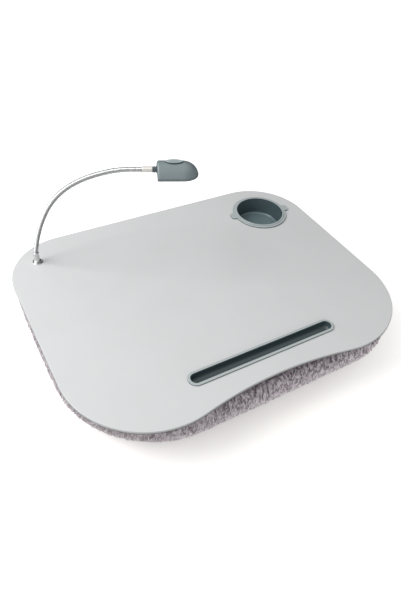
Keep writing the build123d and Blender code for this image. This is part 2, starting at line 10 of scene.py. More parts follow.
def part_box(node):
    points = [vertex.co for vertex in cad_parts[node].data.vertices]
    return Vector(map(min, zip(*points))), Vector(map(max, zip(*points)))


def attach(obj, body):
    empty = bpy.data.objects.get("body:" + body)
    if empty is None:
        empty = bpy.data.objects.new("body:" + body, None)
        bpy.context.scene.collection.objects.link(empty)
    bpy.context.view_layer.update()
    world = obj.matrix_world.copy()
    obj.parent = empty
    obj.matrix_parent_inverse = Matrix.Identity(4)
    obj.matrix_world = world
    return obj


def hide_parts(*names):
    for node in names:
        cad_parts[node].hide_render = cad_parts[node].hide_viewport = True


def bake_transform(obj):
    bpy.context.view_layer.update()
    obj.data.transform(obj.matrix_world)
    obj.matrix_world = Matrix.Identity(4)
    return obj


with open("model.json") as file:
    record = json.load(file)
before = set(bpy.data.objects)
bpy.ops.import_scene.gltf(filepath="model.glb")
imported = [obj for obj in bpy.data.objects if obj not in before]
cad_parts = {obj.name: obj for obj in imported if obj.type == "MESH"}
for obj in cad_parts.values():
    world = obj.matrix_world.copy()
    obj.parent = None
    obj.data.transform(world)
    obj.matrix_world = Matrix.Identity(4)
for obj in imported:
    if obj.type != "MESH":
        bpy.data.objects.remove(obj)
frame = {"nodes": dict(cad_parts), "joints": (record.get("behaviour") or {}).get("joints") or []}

bl_info = {
    "name": "Lap Tray with Cushion and Reading Lamp",
    "version": (1, 0, 0),
    "blender": (4, 5, 0),
    "location": "View3D > Sidebar > Lap Tray",
    "description": "Builds the fleece cushion and the gooseneck of a lap tray, and finishes all its pieces",
    "category": "Object",
}

MM = 0.001
WHITE = (1, 1, 1)

# The frame's own figures: the joints of the neck in order from its foot
NECK_JOINTS = [joint for joint in frame["joints"] if joint["name"].startswith("neck_")]
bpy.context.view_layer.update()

# Blender's mix node has a socket for every kind of value, and these are the ones used here
MIX_FACTOR = 0
FIRST_NUMBER, SECOND_NUMBER, MIXED_NUMBER = 2, 3, 0
FIRST_COLOUR, SECOND_COLOUR, MIXED_COLOUR = 6, 7, 2

# So does the node for random values, whose sockets here are the two limits and the result
LOWEST_VECTOR, HIGHEST_VECTOR, RANDOM_VECTOR = 0, 1, 0
LOWEST_NUMBER, HIGHEST_NUMBER, RANDOM_NUMBER = 2, 3, 1

# Mesh of the bag: its rounded corners, its straight sides, and the frames in which it swells
CORNER_SEGMENTS = 14
SIDE_CUTS = 9
SWELL_FRAMES = 20

# Pockets have round ends, just short of a full half circle, so that no edge shrinks to nothing
POCKET_SEGMENTS = 12
POCKET_ROUNDING = 0.98

# Stretches of a tuft: rise and bend as shares of its length, and how far it narrows
TUFT_STRETCHES = ((0.5, 0.16, 0.85), (0.5, -0.06, 0.01))

# Chance and the lock that a tuft stands in each make it between these times as large
TUFT_SIZES = (0.7, 1.2)

# A lock fills out between these values of the locks' noise
LOCK_EDGES = (0.35, 0.65)

# Tufts lean together in patches, from one side to the other between these values of their noise
LEAN_PATCH = 25 * MM
LEAN_EDGES = (0.3, 0.7)

# The underside is pressed flat, so a fifth of the tufts is enough there: the first of these rises of
# the normal is straight down, and from the second on the pile is full
PRESSED_SHARE = 1 / 5
PRESSED_RISE = (-1, -0.8)

# Painted shade of the fleece at shares of the cushion's height, darker towards the board
PAINTED_SHADE_TONES = ((0.1, 1), (0.6, 0.92), (0.84, 0.8), (0.94, 0.55))

# Floor's reach from the middle, and the lamps' places, in metres
FLOOR_REACH = 6
KEY_PLACE = Vector((-0.9, 0.3, 1.0))
FILL_PLACE = Vector((0.25, -1.1, 0.15))

# The dark wall ends softly at its side and its top, over these parts of the direction
WALL_SIDE_FADE = 0.35
WALL_TOP_FADE = 0.3

# The camera was fitted to the board's outline in the photo
CAMERA_LENS = 31.06
CAMERA_PLACE = Vector((-0.3139, -0.4654, 0.5751))
CAMERA_RIGHT = Vector((0.8691, -0.4898, 0.0693))
CAMERA_DOWN = Vector((-0.2977, -0.6298, -0.7175))
CAMERA_FORWARD = Vector((0.3951, 0.6029, -0.6931))


def linear(hex_colour):
    """Linear colour of an sRGB hex value."""
    channels = [int(hex_colour[i:i + 2], 16) / 255 for i in (0, 2, 4)]
    return [c / 12.92 if c <= 0.04045 else ((c + 0.055) / 1.055) ** 2.4 for c in channels]


def colour(name, description, hex_colour):
    """Colour property with an sRGB hex default."""
    return FloatVectorProperty(
        name=name, description=description, subtype="COLOR", size=3, min=0, max=1, default=linear(hex_colour)
    )


def number(name, description, default, **options):
    """Property for a number."""
    return FloatProperty(name=name, description=description, default=default, **options)


def length(name, description, millimetres):
    """Length property with a default in millimetres."""
    return number(name, description, millimetres * MM, unit="LENGTH", precision=5, min=0)


def share(name, description, default):
    """Property for a share from 0 to 1."""
    return number(name, description, default, subtype="FACTOR", min=0, max=1)


def count(name, description, default, lowest=1):
    """Property for a whole number with a lowest value."""
    return IntProperty(name=name, description=description, min=lowest, default=default)


class BoardSettings(bpy.types.PropertyGroup):
    paint: colour("Paint", "Colour of the lacquered board", "DCDCDD")
    paint_shade: colour("Paint shade", "Second colour of the faint cloudiness in the lacquer", "D6D8D8")
    cloud_size: length("Cloud size", "Size of the faint clouds in the lacquer", 60)
    peel_size: length("Orange peel", "Spacing of the sprayed lacquer's ripples", 1.6)
    # The edge's colour is partly the fibreboard soaking up lacquer and partly painted shade on the board's
    # sideways faces
    edge: colour("Edge", "Colour of the board's edge, where the fibreboard soaks up the lacquer", "B4B7B8")
    # Painted shade: the edge's lower part, over the share below, is dark like the shadow gap where the fleece
    # tucks under the board
    bare_edge: colour("Bare edge", "Colour of the edge's lower part, which gets little lacquer", "55524F")
    bare_share: share("Bare share", "Share of the edge's height that is nearly bare", 0.4)
    gloss_roughness: share("Roughness", "Roughness of the lacquer", 0.38)


class InsertSettings(bpy.types.PropertyGroup):
    rim: colour("Rim", "Colour of the inserts where they lie on the board", "B4BCBC")
    # Painted shade: the steep walls and the floors are darker copies of the rim's plastic, for the shade in
    # the recesses and under the rims
    wall: colour("Wall", "Colour of the inserts' steep sides", "46555A")
    cup_floor: colour("Cup floor", "Colour of the cup's floor", "66797D")
    trough_floor: colour("Trough floor", "Colour of the trough's floor", "465457")
    grain_size: length("Grain", "Spacing of the moulding's spark-eroded grain", 0.5)
    fade_depth: length("Fade depth", "Depth over which the rim's colour turns to the inside's", 2)


class LampSettings(bpy.types.PropertyGroup):
    shell: colour("Shell", "Colour of the lamp head's shell", "7E8A8D")
    lower: colour("Lower tray", "Colour of the lamp head's lower tray", "6E787C")
    button: colour("Button", "Colour of the push button", "A9B6B8")
    # Painted shade: the button's steep rim is darker, as the dark shadow line round the raised button
    button_side: colour("Button side", "Colour of the push button's rim", "4E595C")
    plating: colour("Plating", "Colour of the chrome plating", "CFD0D0")
    satin: colour("Satin plating", "Colour of the end ferrule's satin plating", "F4F1EA")
    neck_radius: length("Neck radius", "Outer radius of the wound neck", 3.4)
    winding_pitch: length("Winding pitch", "Distance from one turn of the winding to the next", 1.5)
    wire_radius: length("Wire radius", "Radius of the round wire that the neck is wound from", 0.77)
    sides: count("Sides", "Sides of the neck's section", 24, lowest=8)
    rings: count("Rings", "Rings in each turn of the winding", 10, lowest=2)


class CushionSettings(bpy.types.PropertyGroup):
    dark: colour("Dark yarn", "Darkest colour of the fleece", "776D74")
    middle: colour("Middle yarn", "Middle colour of the fleece", "D3C7D1")
    light: colour("Light yarn", "Lightest colour of the fleece", "FBF5FA")
    dark_until: share("Dark until", "Value of the melange's noise up to which the yarn is darkest", 0.36)
    middle_at: share("Middle at", "Value of the melange's noise where the yarn is in between", 0.48)
    light_from: share("Light from", "Value of the melange's noise from which the yarn is lightest", 0.62)
    # Painted shade where the fleece tucks under the board
    tuck_shade: share("Tuck shade", "How bright the fleece still is where it tucks under the board", 0.2)
    # Painted light from the pale floor: the fleece is mixed paler towards the floor
    pale_share: share("Pale share", "Share of the lightest yarn's colour that is mixed in at the floor", 0.75)
    pale_up_to: share("Pale up to", "Share of the cushion's height up to which the fleece is paler", 0.8)
    backing: colour("Backing", "Colour of the backing cloth", "3E3D41")
    side_bow: length("Side bow", "How far the middle of a side stands out from its ends", 4.5)
    end_bow: length("End bow", "How far the middle of the front and back stands out from its ends", 4)
    back_radius: length("Back corners", "Radius of the two back corners", 80)
    front_left_radius: length("Front left corner", "Radius of the slumped front left corner", 130)
    front_right_radius: length("Front right corner", "Radius of the front right corner", 102)
    rest_inset: length("Rest inset", "How far inside its widest line the bag rests on the floor", 50)
    mouth_inset: length("Mouth inset", "How far the bag would draw in above its widest line", 28)
    widest: share("Widest", "Share of the height at which the bag is widest", 0.55)
    levels: count("Levels", "Rings from the floor to the board", 15, lowest=4)
    voxel: length("Voxel", "Voxel of the remeshed bag before it is blown up", 6)
    start_inset: length("Start inset", "How much smaller the bag starts before it swells", 2)
    move_cap: length("Cap", "Furthest that a point of the bag may move as it swells", 7)
    pressure: number("Pressure", "Air pressure in the bag", 4, min=0)
    pocket_clearance: length("Pocket clearance", "Room round the inserts in the cushion", 2)
    tuft_length: length("Tuft length", "Length of a tuft of the fleece", 5)
    tuft_width: length("Tuft width", "Width of a tuft of the fleece", 1.35)
    tuft_density: number("Tuft density", "Tufts per square metre", 390000, min=0)
    layers: count("Layers", "Pieces that the pile is divided over", 3)
    lock_width: length("Lock width", "Width of the locks that the tufts hang together in", 4)
    lock_stretch: share("Lock stretch", "Width of a lock as a share of its length", 0.4)
    glue_gap: length("Glue gap", "Distance from the board within which the bag has no pile", 0.6)
    top_rise: share("Top rise", "Rise of the normal from which the bag's top faces the board", 0.7)
    comb_lift: share("Lift", "How far the tufts stand off the cloth", 0.05)
    comb_slant: share("Slant", "How far the tufts lean to one side", 0.45)
    jitter: share("Jitter", "How far a tuft strays from the direction in which it is combed", 0.3)


class StageSettings(bpy.types.PropertyGroup):
    floor: colour("Floor", "Colour of the floor", "EFECE8")
    near_lift: share("Near lift", "White added where the camera sees the floor near the object", 0.35)
    far_lift: share("Far lift", "White added where the camera sees the floor further off", 0.6)
    near: length("Near", "Distance from the middle up to which the floor is near", 200)
    far: length("Far", "Distance from the middle from which the floor is far", 340)
    sky: share("Sky", "Strength of the soft light from all round", 0.74)
    wall: colour("Wall", "Colour of the studio's dark wall, which bright metal reflects", "17181A")
    wall_from: number("Wall from", "Sideways part of the direction where the wall starts", -0.05)
    wall_to: share("Wall to", "Upward part of the direction where the wall ends", 0.85)
    key: number("Key", "Power of the large lamp", 11.2, subtype="POWER")
    key_size: length("Key size", "Side of the large lamp", 800)
    fill: number("Fill", "Power of the low lamp in front", 3.6, subtype="POWER")
    fill_size: length("Fill size", "Side of the low lamp in front", 500)


def settings(kind):
    """One group of this object's settings in the scene."""
    return getattr(bpy.context.scene, "lap_tray_" + kind)


# Nodes

def add_node(owner, kind, inputs=None, **properties):
    """Add a node with its properties, and with inputs that are values or other nodes' outputs."""
    tree = getattr(owner, "node_tree", owner)
    node = tree.nodes.new(kind)
    for name, value in properties.items():
        setattr(node, name, value)
    for name, value in (inputs or {}).items():
        if isinstance(value, bpy.types.NodeSocket):
            tree.links.new(value, node.inputs[name])
        else:
            node.inputs[name].default_value = value
    return node


def maths(owner, operation, first, second):
    """Result of an operation on two numbers."""
    return add_node(owner, "ShaderNodeMath", {0: first, 1: second}, operation=operation).outputs[0]


def vector_maths(owner, operation, first, second):
    """Result of an operation on two vectors, or on a vector and its scale."""
    second_name = "Scale" if operation == "SCALE" else 1
    node = add_node(owner, "ShaderNodeVectorMath", {0: first, second_name: second}, operation=operation)
    return node.outputs[0]


def axis_of(owner, axis, vector):
    """One axis of a vector."""
    return add_node(owner, "ShaderNodeSeparateXYZ", {"Vector": vector}).outputs[axis]


def remap(owner, value, source, target=(0, 1), **properties):
    """Number brought from one range to another and held within it."""
    limits = zip(("From Min", "From Max", "To Min", "To Max"), (*source, *target))
    inputs = {"Value": value, **dict(limits)}
    return add_node(owner, "ShaderNodeMapRange", inputs, **properties).outputs["Result"]


def rgba(rgb):
    """Colour with full opacity."""
    return (*rgb, 1)


def mixed_colour(owner, factor, first, second, blend_type="MIX"):
    """Mix of two colours, each a fixed colour or another node's output."""
    inputs = {MIX_FACTOR: factor}
    for socket, tint in ((FIRST_COLOUR, first), (SECOND_COLOUR, second)):
        inputs[socket] = tint if isinstance(tint, bpy.types.NodeSocket) else rgba(tint)
    node = add_node(owner, "ShaderNodeMix", inputs, data_type="RGBA", blend_type=blend_type)
    return node.outputs[MIXED_COLOUR]


def colour_ramp(owner, factor, stops):
    """Colour of a ramp, whose stops are rising positions with their colours."""
    ramp = add_node(owner, "ShaderNodeValToRGB", {"Fac": factor})
    elements = ramp.color_ramp.elements
    elements.remove(elements[-1])
    elements[0].position = stops[0][0]
    elements[0].color = rgba(stops[0][1])
    for position, tint in stops[1:]:
        elements.new(position).color = rgba(tint)
    return ramp.outputs["Color"]


def coordinates(owner, kind="Object"):
    """Texture coordinates: in a material in the object's own axes, and in the world a direction."""
    return add_node(owner, "ShaderNodeTexCoord").outputs[kind]


def noise(owner, cell, **inputs):
    """Noise with cells of this size, from 0 to 1."""
    return add_node(owner, "ShaderNodeTexNoise", {"Scale": 1 / cell, **inputs}).outputs["Fac"]


def seen_directly(owner):
    """1 for what the camera sees, also through the clear lens, and 0 for other rays."""
    path = add_node(owner, "ShaderNodeLightPath")
    return maths(owner, "MAXIMUM", path.outputs["Is Camera Ray"], path.outputs["Is Transmission Ray"])


# Materials

def new_material(name):
    """Empty node material."""
    material = bpy.data.materials.new(name)
    material.use_nodes = True
    material.node_tree.nodes.clear()
    return material


def output(material, surface):
    """Send a shader to the material's surface."""
    add_node(material, "ShaderNodeOutputMaterial", {"Surface": surface})


def finished(material, inputs):
    """Give a material a surface with these inputs."""
    output(material, add_node(material, "ShaderNodeBsdfPrincipled", inputs).outputs["BSDF"])
    return material


def bump_of(material, cell, strength, height):
    """Bumps of a noise with cells of this size."""
    inputs = {
        "Height": noise(material, cell, Vector=coordinates(material), Detail=2),
        "Strength": strength,
        "Distance": height,
    }
    return add_node(material, "ShaderNodeBump", inputs).outputs["Normal"]


def lying_share(material, steep=0.4, level=0.7):
    """How level the surface lies: 0 where its normal's rise is steep or less, 1 where it is level or more."""
    rise = axis_of(material, "Z", coordinates(material, "Normal"))
    return remap(material, rise, (steep, level))


def height_share(material, low, high, **properties):
    """How high a point lies between two levels, from 0 to 1."""
    return remap(material, axis_of(material, "Z", coordinates(material)), (low, high), **properties)


def lacquered_fibreboard():
    """Fibreboard sprayed with satin lacquer: a soft sheen, faint clouds and a trace of orange peel."""
    board = settings("board")
    material = new_material("lacquered_fibreboard")
    clouds = noise(material, board.cloud_size, Vector=coordinates(material))
    face = mixed_colour(material, clouds, board.paint, board.paint_shade)
    low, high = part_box("tray_board")
    # Painted shade under the board: the edge darkens downwards towards the fleece, and is half dark at the
    # top of the shaded share of its height
    unshaded_from = low.z + 2 * board.bare_share * (high.z - low.z)
    unshaded = height_share(material, low.z, unshaded_from, interpolation_type="SMOOTHERSTEP")
    edge = mixed_colour(material, unshaded, board.bare_edge, board.edge)
    inputs = {
        # Sideways faces take the edge's colour, which is partly painted shade
        "Base Color": mixed_colour(material, lying_share(material, steep=0.75, level=0.97), edge, face),
        "Roughness": board.gloss_roughness,
        "Coat Weight": 0.15,
        "Coat Roughness": 0.25,
        "Normal": bump_of(material, cell=board.peel_size, strength=0.12, height=0.05 * MM),
    }
    return finished(material, inputs)


def moulded_abs(name, top_colour, shaded_side_colour=None, shaded_floor_colour=None, level=0, *, roughness):
    """Moulded ABS with a fine spark-eroded grain, which breaks up its gloss.

    Where it is given a second colour, its steep sides are darker than its tops as painted shade,
    and a third colour is the painted shade of an insert's floor, below the level of the board.
    """
    inserts = settings("inserts")
    material = new_material(name)
    tint = rgba(top_colour)
    # Painted shade: the steep sides take the darker colour
    if shaded_side_colour is not None:
        lying = lying_share(material)
        tint = mixed_colour(material, lying, shaded_side_colour, top_colour)
    if shaded_floor_colour is not None:
        # Painted shade: below the board's level the inside turns to the darker floor and wall colours
        shaded_inside = mixed_colour(material, lying, shaded_side_colour, shaded_floor_colour)
        raised = height_share(material, level - inserts.fade_depth, level)
        tint = mixed_colour(material, raised, shaded_inside, tint)
    grain = bump_of(material, cell=inserts.grain_size, strength=0.1, height=0.04 * MM)
    return finished(material, {"Base Color": tint, "Roughness": roughness, "IOR": 1.53, "Normal": grain})


def plated_steel(name, tint, roughness):
    """Plated and polished steel: a mirror, with fine polishing marks that soften it a little."""
    material = new_material(name)
    marks = bump_of(material, cell=0.4 * MM, strength=0.04, height=0.01 * MM)
    inputs = {"Base Color": rgba(tint), "Metallic": 1, "Roughness": roughness, "Normal": marks}
    return finished(material, inputs)


def plain_material(name, hex_colour, roughness, metallic=0, transmission=0):
    """Small inner part or trim, with a fine grain that keeps its surface from looking blank."""
    material = new_material(name)
    inputs = {
        "Base Color": rgba(linear(hex_colour)),
        "Roughness": roughness,
        "Metallic": metallic,
        "Transmission Weight": transmission,
        "Normal": bump_of(material, cell=0.6 * MM, strength=0.1, height=0.03 * MM),
    }
    return finished(material, inputs)


def lock_noise(owner, place):
    """Noise of the fleece's locks, which are narrow across and long downwards."""
    cushion = settings("cushion")
    stretched = vector_maths(owner, "MULTIPLY", place, (1, 1, cushion.lock_stretch))
    return noise(owner, cushion.lock_width, Vector=stretched, Detail=3, Roughness=0.6)


def melange_fleece(name, tuft_share):
    """Melange fleece: pale and dark fibres in short streaks that hang down, with a soft sheen.

    The share says how much of the shade comes from each tuft, and how much from the streaks.
    """
    cushion = settings("cushion")
    material = new_material(name)
    tuft = add_node(material, "ShaderNodeAttribute", attribute_name="tuft_shade")
    inputs = {
        MIX_FACTOR: tuft_share,
        FIRST_NUMBER: lock_noise(material, coordinates(material)),
        SECOND_NUMBER: tuft.outputs["Fac"],
    }
    melange = add_node(material, "ShaderNodeMix", inputs, data_type="FLOAT").outputs[MIXED_NUMBER]
    yarns = (
        (cushion.dark_until, cushion.dark),
        (cushion.middle_at, cushion.middle),
        (cushion.light_from, cushion.light),
    )
    yarn = colour_ramp(material, melange, yarns)
    # Painted light from the pale floor makes the pile paler low down, and painted shade darkens it where it
    # tucks under the board
    low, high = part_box("cushion_cover")
    height = height_share(material, low.z, high.z)
    painted_floor_light = remap(material, height, (0, cushion.pale_up_to), (cushion.pale_share, 0))
    floor_lit_yarn = mixed_colour(material, painted_floor_light, yarn, cushion.light)
    shade_tones = [(position, [tone] * 3) for position, tone in (*PAINTED_SHADE_TONES, (1, cushion.tuck_shade))]
    inputs = {
        "Base Color": mixed_colour(material, 1, floor_lit_yarn, colour_ramp(material, height, shade_tones), "MULTIPLY"),
        "Roughness": 0.95,
        "Sheen Weight": 0.35,
        "Sheen Roughness": 0.5,
        "Specular IOR Level": 0.2,
        "Normal": bump_of(material, cell=1.2 * MM, strength=0.5, height=0.4 * MM),
    }
    return finished(material, inputs)


def cloth(name, base, thread):
    """Cloth whose threads stand out by a quarter of their width, which scatters light without a shine."""
    material = new_material(name)
    inputs = {
        "Base Color": rgba(base),
        "Roughness": 0.95,
        "Sheen Weight": 0.2,
        "Specular IOR Level": 0.2,
        "Normal": bump_of(material, cell=thread, strength=0.6, height=thread / 4),
    }
    return finished(material, inputs)


# Pieces

def paint_piece(piece, material):
    """Give a piece one material."""
    piece.data.materials.clear()
    piece.data.materials.append(material)


def paint_node(node, material):
    """Give a CAD node's object one material."""
    paint_piece(frame["nodes"][node], material)


def smooth(piece):
    """Shade a piece smooth."""
    piece.data.polygons.foreach_set("use_smooth", [True] * len(piece.data.polygons))


def in_scene(name, data):
    """New object in the scene with this data."""
    made = bpy.data.objects.new(name, data)
    bpy.context.scene.collection.objects.link(made)
    return made


def object_from(builder, name):
    """Object made of a bmesh, whose place is in its mesh."""
    mesh = bpy.data.meshes.new(name)
    builder.to_mesh(mesh)
    builder.free()
    return in_scene(name, mesh)


def apply_modifiers(piece):
    """Replace a piece's mesh by what its modifiers make of it."""
    graph = bpy.context.evaluated_depsgraph_get()
    mesh = bpy.data.meshes.new_from_object(piece.evaluated_get(graph))
    piece.modifiers.clear()
    piece.data = mesh


def modify(piece, kind, **properties):
    """Put a modifier with these properties on a piece and apply it."""
    modifier = piece.modifiers.new(kind.lower(), kind)
    for name, value in properties.items():
        setattr(modifier, name, value)
    apply_modifiers(piece)


def extrude_ring(builder, edges):
    """Extrude a ring of edges in place, and give the new ring's vertices and edges."""
    grown = bmesh.ops.extrude_edge_only(builder, edges=edges)["geom"]
    vertices = [part for part in grown if isinstance(part, bmesh.types.BMVert)]
    return vertices, [part for part in grown if isinstance(part, bmesh.types.BMEdge)]


def round_off(builder, parts, radius, segments, affect):
    """Round off corners or edges to a radius. A profile of 0.5 is the round one."""
    bmesh.ops.bevel(
        builder, geom=parts, offset=radius, offset_type="OFFSET", affect=affect,
        segments=segments, profile=0.5, material=-1,
    )


def close_ends(builder):
    """Close the open ends of a form and turn its faces outwards."""
    rims = [edge for edge in builder.edges if edge.is_boundary]
    bmesh.ops.holes_fill(builder, edges=rims, sides=0)
    bmesh.ops.recalc_face_normals(builder, faces=builder.faces)


# Board and inserts

class LAPTRAY_OT_board(bpy.types.Operator):
    """Finish the board in satin lacquer"""
    bl_idname = "lap_tray.board"
    bl_label = "Board"

    def execute(self, context):
        paint_node("tray_board", lacquered_fibreboard())
        return {"FINISHED"}


class LAPTRAY_OT_inserts(bpy.types.Operator):
    """Finish the cup insert and the trough insert"""
    bl_idname = "lap_tray.inserts"
    bl_label = "Inserts"

    def execute(self, context):
        inserts = settings("inserts")
        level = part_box("tray_board")[1].z
        # The floors' colours are painted shade in the inserts' recesses
        for node, floor in (("cup_insert", inserts.cup_floor), ("trough_insert", inserts.trough_floor)):
            name = "moulded_abs_" + node
            plastic = moulded_abs(name, inserts.rim, inserts.wall, floor, level, roughness=0.3)
            paint_node(node, plastic)
        return {"FINISHED"}


# Gooseneck

def neck_path():
    """Joint places of the neck, the direction of each link, and the level side of its plane."""
    points = [Vector(joint["pos_m"]) for joint in NECK_JOINTS]
    directions = [(b - a).normalized() for a, b in zip(points, points[1:])]
    side = Vector(NECK_JOINTS[0]["axis"])
    # The last joint's axis gives the middle direction there, in which the last link mirrors the one before
    middle = Vector(NECK_JOINTS[-1]["axis"]).cross(side).normalized()
    last = 2 * middle.dot(directions[-1]) * middle - directions[-1]
    return points, directions + [last.normalized()], side


def first_ring(start, direction):
    """Bmesh with the first ring of a piece of the neck, square to its direction."""
    lamp = settings("lamp")
    builder = bmesh.new()
    turn = direction.to_track_quat("Z", "Y").to_matrix().to_4x4()
    bmesh.ops.create_circle(
        builder, segments=lamp.sides, radius=lamp.neck_radius, matrix=Matrix.Translation(start) @ turn
    )
    return builder


def wound_piece(builder, name, ring_place, travelled):
    """Press the furrow of the winding into a tube's rings, close the tube and make it an object.

    For a point, ring_place gives the middle of its ring, two directions across the tube, and the
    distance from the tube's start.
    """
    lamp = settings("lamp")
    for vertex in builder.verts:
        centre, across, along_plane, distance = ring_place(vertex.co)
        out = vertex.co - centre
        turn = math.atan2(out.dot(across), out.dot(along_plane))
        turns = (travelled + distance) / lamp.winding_pitch + turn / math.tau
        off_crest = (turns - round(turns)) * lamp.winding_pitch
        furrow = lamp.wire_radius - math.sqrt(lamp.wire_radius ** 2 - off_crest ** 2)
        vertex.co -= out.normalized() * furrow
    close_ends(builder)
    return object_from(builder, name)


def neck_bend_piece(name, joint, before, after, reach, side, travelled):
    """Wound tube round one joint, as an arc that meets the links before and after it, and its length."""
    lamp = settings("lamp")
    angle = before.angle(after)
    arc_radius = reach / math.tan(angle / 2)
    start = joint - before * reach
    inward = side.cross(before).normalized()
    centre = start + inward * arc_radius
    builder = first_ring(start, before)
    bmesh.ops.spin(
        builder,
        geom=builder.verts[:] + builder.edges[:],
        cent=centre,
        axis=side,
        angle=angle,
        steps=round(arc_radius * angle / lamp.winding_pitch) * lamp.rings,
        use_duplicate=False,
    )

    def ring_place(point):
        offset = point - centre
        offset -= side * offset.dot(side)
        spoke = offset.normalized()
        swept = (-inward).angle(spoke, 0)
        return centre + spoke * arc_radius, side, spoke, swept * arc_radius

    return wound_piece(builder, name, ring_place, travelled), arc_radius * angle


def neck_straight_piece(name, start, end, side, travelled):
    """Wound tube from one point straight to another."""
    lamp = settings("lamp")
    direction = (end - start).normalized()
    reach = (end - start).length
    builder = first_ring(start, direction)
    edges = builder.edges[:]
    steps = max(1, round(reach / lamp.winding_pitch)) * lamp.rings
    for _ in range(steps):
        moved, edges = extrude_ring(builder, edges)
        bmesh.ops.translate(builder, verts=moved, vec=direction * reach / steps)
    outwards = direction.cross(side)

    def ring_place(point):
        distance = (point - start).dot(direction)
        return start + direction * distance, side, outwards, distance

    return wound_piece(builder, name, ring_place, travelled)


class LAPTRAY_OT_gooseneck(bpy.types.Operator):
    """Build the wound neck as one smooth tube that bends at the joints"""
    bl_idname = "lap_tray.gooseneck"
    bl_label = "Gooseneck"

    def execute(self, context):
        lamp = settings("lamp")
        chrome = plated_steel("polished_chrome_neck", lamp.plating, roughness=0.2)
        points, directions, side = neck_path()
        link_length = (points[1] - points[0]).length
        half = link_length / 2
        # The first piece comes upright out of the ferrule and is shorter than the others
        foot = Vector((0, 0, 1))
        first_reach = points[0].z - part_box("lamp_ferrule")[1].z + lamp.winding_pitch
        reaches = [first_reach] + [half] * (len(points) - 1)
        bends = zip(NECK_JOINTS, points, [foot] + directions[:-1], directions, reaches)
        travelled = 0
        made = []
        for joint, point, before, after, reach in bends:
            name = "gooseneck_" + str(len(made) + 1)
            piece, arc = neck_bend_piece(name, point, before, after, reach, side, travelled)
            travelled += arc
            start = point - before * reach
            end = point + after * reach
            if not made:
                rise = neck_straight_piece("gooseneck_rise", end, point + after * half, side, travelled)
                travelled += half - first_reach
                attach(rise, NECK_JOINTS[0]["child"])
            made.append((piece, joint, start, end))
        tip_end = points[-1] + directions[-1] * link_length
        tip = neck_straight_piece("gooseneck_tip", end, tip_end, side, travelled)
        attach(tip, NECK_JOINTS[-1]["child"])
        for piece in [rise, tip] + [row[0] for row in made]:
            paint_piece(piece, chrome)
            smooth(piece)
        for piece, joint, start, end in made:
            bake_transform(piece)
        for index, (piece, *_) in enumerate(made):
            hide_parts("neck_link_" + str(index + 1))
        return {"FINISHED"}


# Lamp

class LAPTRAY_OT_lamp(bpy.types.Operator):
    """Finish the lamp's foot, its head and what is inside the head"""
    bl_idname = "lap_tray.lamp"
    bl_label = "Lamp"

    def execute(self, context):
        lamp = settings("lamp")
        chrome = plated_steel("polished_chrome_fittings", lamp.plating, roughness=0.22)
        zinc = plain_material("zinc_plated_steel", "B4B6B8", roughness=0.4, metallic=1)
        lower = moulded_abs("moulded_abs_lower_tray", lamp.lower, roughness=0.4)
        # Zinc is dull and pale, nickel satin, rubber and nylon matt, acrylic clear and brass warm
        finishes = {
            "lamp_collar": chrome,
            "lamp_ferrule": chrome,
            "neck_end_ferrule": plated_steel("satin_nickel", lamp.satin, roughness=0.45),
            "lamp_washer": zinc,
            "lamp_nut": zinc,
            "lock_nut": zinc,
            "shell_screws": zinc,
            "coin_cells": zinc,
            "neck_boot": plain_material("boot_rubber", "5B666A", roughness=0.6),
            "head_shell": moulded_abs("moulded_abs_shell", lamp.shell, roughness=0.36),
            "head_tray": lower,
            "battery_hatch": lower,
            "push_button": moulded_abs("moulded_abs_button", lamp.button, lamp.button_side, roughness=0.42),
            "head_lens": plain_material("clear_acrylic", "F4F7FA", roughness=0.05, transmission=1),
            "reflector": plain_material("metallised_reflector", "E6E7E8", roughness=0.12, metallic=1),
            "light_group": plain_material("clear_epoxy", "F3EFD8", roughness=0.15),
            "circuit_board": plain_material("solder_mask", "1E5A38", roughness=0.5),
            "switch_body": plain_material("switch_nylon", "1C1C1E", roughness=0.5),
            "switch_plunger": plain_material("plunger_nylon", "2A2A2C", roughness=0.5),
            "cell_contact": plain_material("sprung_brass", "C9A860", roughness=0.3, metallic=1),
        }
        for node, material in finishes.items():
            paint_node(node, material)
        return {"FINISHED"}


# Cushion

def bag_outline(builder, inset, level):
    """Outline of the bag at a level, drawn in by an inset, as a loop of edges."""
    cushion = settings("cushion")
    low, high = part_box("cushion_cover")
    middle = (low + high) / 2
    half_x = (high.x - low.x) / 2 - cushion.side_bow - inset
    half_y = (high.y - low.y) / 2 - cushion.end_bow - inset
    place = Matrix.Translation((middle.x, middle.y, level)) @ Matrix.Diagonal((half_x, half_y, 1, 1))
    corners = bmesh.ops.create_grid(builder, x_segments=1, y_segments=1, size=1, matrix=place)["verts"]
    for corner in corners:
        radius = cushion.back_radius
        if corner.co.y < middle.y:
            radius = cushion.front_left_radius if corner.co.x < middle.x else cushion.front_right_radius
        round_off(builder, [corner], radius - inset, CORNER_SEGMENTS, "VERTICES")
    # The outline's face is the only one so far, and its four longest edges are the sides
    sides = sorted(builder.faces[:][0].edges, key=lambda edge: -edge.calc_length())[:4]
    bmesh.ops.subdivide_edges(builder, edges=sides, cuts=SIDE_CUTS)
    face = builder.faces[:][0]
    edges = list(face.edges)
    # A side stands out most in its middle, and this fades to nothing at the sides next to it
    for vertex in face.verts:
        across = (vertex.co.x - middle.x) / half_x
        along = (vertex.co.y - middle.y) / half_y
        vertex.co.x += cushion.side_bow * (1 - along ** 2) * across ** 3
        vertex.co.y += cushion.end_bow * (1 - across ** 2) * along ** 3
    bmesh.ops.delete(builder, geom=[face], context="FACES_ONLY")
    return edges


